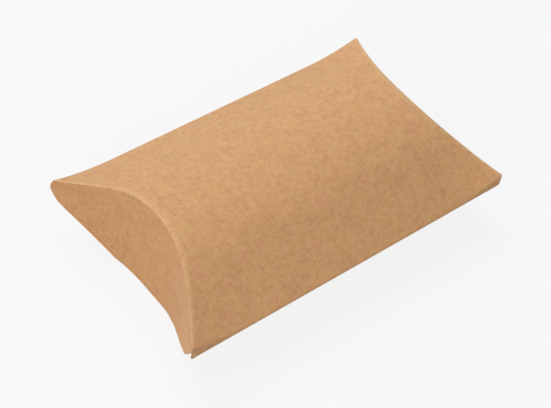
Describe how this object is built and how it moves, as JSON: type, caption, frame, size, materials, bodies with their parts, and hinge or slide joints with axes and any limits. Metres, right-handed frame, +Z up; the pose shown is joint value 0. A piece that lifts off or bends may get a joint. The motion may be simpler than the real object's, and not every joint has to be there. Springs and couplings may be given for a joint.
{
  "type": "pillow box",
  "caption": "Kraft board pillow box with arched panels, flared corners and concave end flaps that fold open on curved creases.",
  "frame": {"origin": "centre of the flat strip that the box rests on", "axes": "+X along the box from end to end, +Y across it towards the glued seam, +Z up"},
  "size_m": [0.1468, 0.09, 0.0387],
  "materials": {
    "kraft_board": "matte uncoated kraft board with visible fibres",
    "glue": "dried clear adhesive"
  },
  "bodies": {
    "sleeve": {"top_panel": "kraft_board", "bottom_panel": "kraft_board", "near_side_fold": "kraft_board", "far_side_fold": "kraft_board", "glue_flap": "kraft_board", "glue_line": "glue"},
    "left_outer": {"left_outer_flap": "kraft_board"},
    "left_inner": {"left_inner_flap": "kraft_board"},
    "right_outer": {"right_outer_flap": "kraft_board"},
    "right_inner": {"right_inner_flap": "kraft_board"}
  },
  "joints": [
    {"name": "left_outer_crease", "type": "hinge", "parent": "sleeve", "child": "left_outer", "pos_m": [-0.0569, 0, 0.0387], "axis": [0, 1, 0], "range_deg": [0, 120]},
    {"name": "left_inner_crease", "type": "hinge", "parent": "sleeve", "child": "left_inner", "pos_m": [-0.05615, 0, 0], "axis": [0, -1, 0], "range_deg": [0, 72]},
    {"name": "right_outer_crease", "type": "hinge", "parent": "sleeve", "child": "right_outer", "pos_m": [0.0569, 0, 0.0387], "axis": [0, -1, 0], "range_deg": [0, 120]},
    {"name": "right_inner_crease", "type": "hinge", "parent": "sleeve", "child": "right_inner", "pos_m": [0.05615, 0, 0], "axis": [0, 1, 0], "range_deg": [0, 72]}
  ],
  "couplings": [
    {"joint": "left_inner_crease", "follows": "left_outer_crease", "ratio": 0.6},
    {"joint": "right_inner_crease", "follows": "right_outer_crease", "ratio": 0.6}
  ]
}
